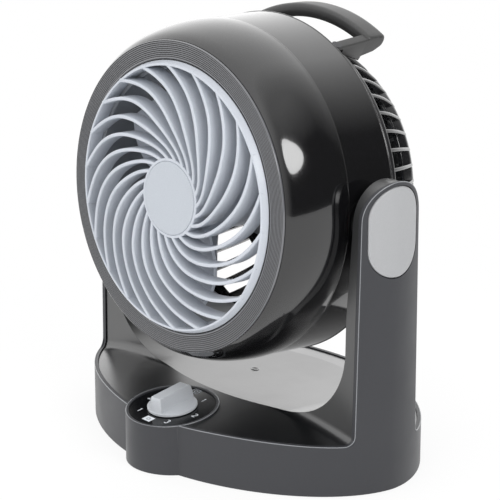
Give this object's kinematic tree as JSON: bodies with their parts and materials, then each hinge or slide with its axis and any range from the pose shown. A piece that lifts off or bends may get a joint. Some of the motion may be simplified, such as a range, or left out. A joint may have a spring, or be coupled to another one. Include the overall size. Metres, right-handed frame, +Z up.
{
  "type": "desk air circulator fan",
  "caption": "Round desk air circulator: a grilled fan head tilts between the two arms of a swinging base with a speed dial; carrying handle behind.",
  "frame": {"origin": "on the floor, on the base's swing axis, straight below the tilt pins; this is the middle of the bottom of the bounding box", "axes": "+Z up, the longest extent; +X along the tilt pins to the arm on the viewer's right in the picture; air blows out towards -Y; Y is the shortest extent"},
  "size_m": [0.2544, 0.1894, 0.2712],
  "materials": {
    "base_grey": "satin moulded plastic",
    "deck_grey": "semi-gloss moulded plastic",
    "hidden_grey": "plain moulded plastic",
    "gloss_black": "polished",
    "bezel_grey": "fine grooved satin",
    "vane_grey": "light satin plastic",
    "cap_grey": "light matt plastic",
    "knob_grey": "light satin plastic",
    "blade_grey": "satin plastic",
    "arm_cap_grey": "silver-grey painted plastic",
    "handle_grey": "satin moulded plastic",
    "dial_black": "gloss black",
    "rubber": "matt",
    "slide_white": "slippery nylon",
    "steel": "plain zinc plated",
    "iron": "painted",
    "alloy": "die cast",
    "copper": "enamelled winding",
    "bronze": "sintered",
    "fibre": "fibre"
  },
  "bodies": {
    "foot": {"foot_plate": "hidden_grey", "rubber_feet": "rubber", "glide_ring": "slide_white", "swing_washer": "steel", "swing_screw": "steel"},
    "yoke": {"base_shell": "base_grey", "deck_tray": "deck_grey", "bottom_cover": "hidden_grey", "base_screws": "steel", "dial_plate": "dial_black", "rotary_switch": "hidden_grey", "swing_motor": "steel", "swing_motor_screws": "steel", "ballast_plate": "iron", "cord_gland": "hidden_grey", "run_capacitor": "dial_black", "terminal_block": "slide_white", "arm_cap_right": "arm_cap_grey", "arm_cap_left": "arm_cap_grey", "pivot_pins": "steel", "pivot_nuts": "steel", "friction_washers": "fibre"},
    "crank": {"crank_arm": "slide_white", "crank_pin": "steel"},
    "knob": {"dial_knob": "knob_grey", "knob_spindle": "alloy"},
    "head": {"bezel_ring": "bezel_grey", "front_shell": "gloss_black", "air_duct": "hidden_grey", "rear_shell": "gloss_black", "front_grille": "vane_grey", "grille_cap": "cap_grey", "motor_front_cover": "alloy", "motor_rear_cover": "alloy", "motor_stator": "iron", "motor_coils": "copper", "motor_bushes": "bronze", "motor_screws": "steel", "rear_guard": "gloss_black", "shell_screws": "steel", "carry_handle": "handle_grey", "handle_screws": "steel"},
    "rotor": {"impeller": "blade_grey", "impeller_nut": "hidden_grey", "motor_shaft": "steel", "motor_rotor": "steel"}
  },
  "joints": [
    {"name": "base_swing", "type": "hinge", "parent": "foot", "child": "yoke", "pos_m": [0, 0, 0], "axis": [0, 0, 1], "range_deg": [-30, 30]},
    {"name": "crank_turn", "type": "hinge", "parent": "yoke", "child": "crank", "pos_m": [0, 0.026, 0.008], "axis": [0, 0, 1], "range_deg": [-90, 90]},
    {"name": "knob_turn", "type": "hinge", "parent": "yoke", "child": "knob", "pos_m": [0, -0.0655, 0.0339], "axis": [0, -0.108, 0.9942], "range_deg": [-315, 0]},
    {"name": "head_tilt", "type": "hinge", "parent": "yoke", "child": "head", "pos_m": [0, 0, 0.1642], "axis": [-1, 0, 0], "range_deg": [-14, 76]},
    {"name": "impeller_spin", "type": "hinge", "parent": "head", "child": "rotor", "pos_m": [0, 0, 0.1642], "axis": [0, 0.9976, -0.0698], "continuous": true}
  ],
  "couplings": [
    {"joint": "crank_turn", "follows": "base_swing", "ratio": -3}
  ]
}
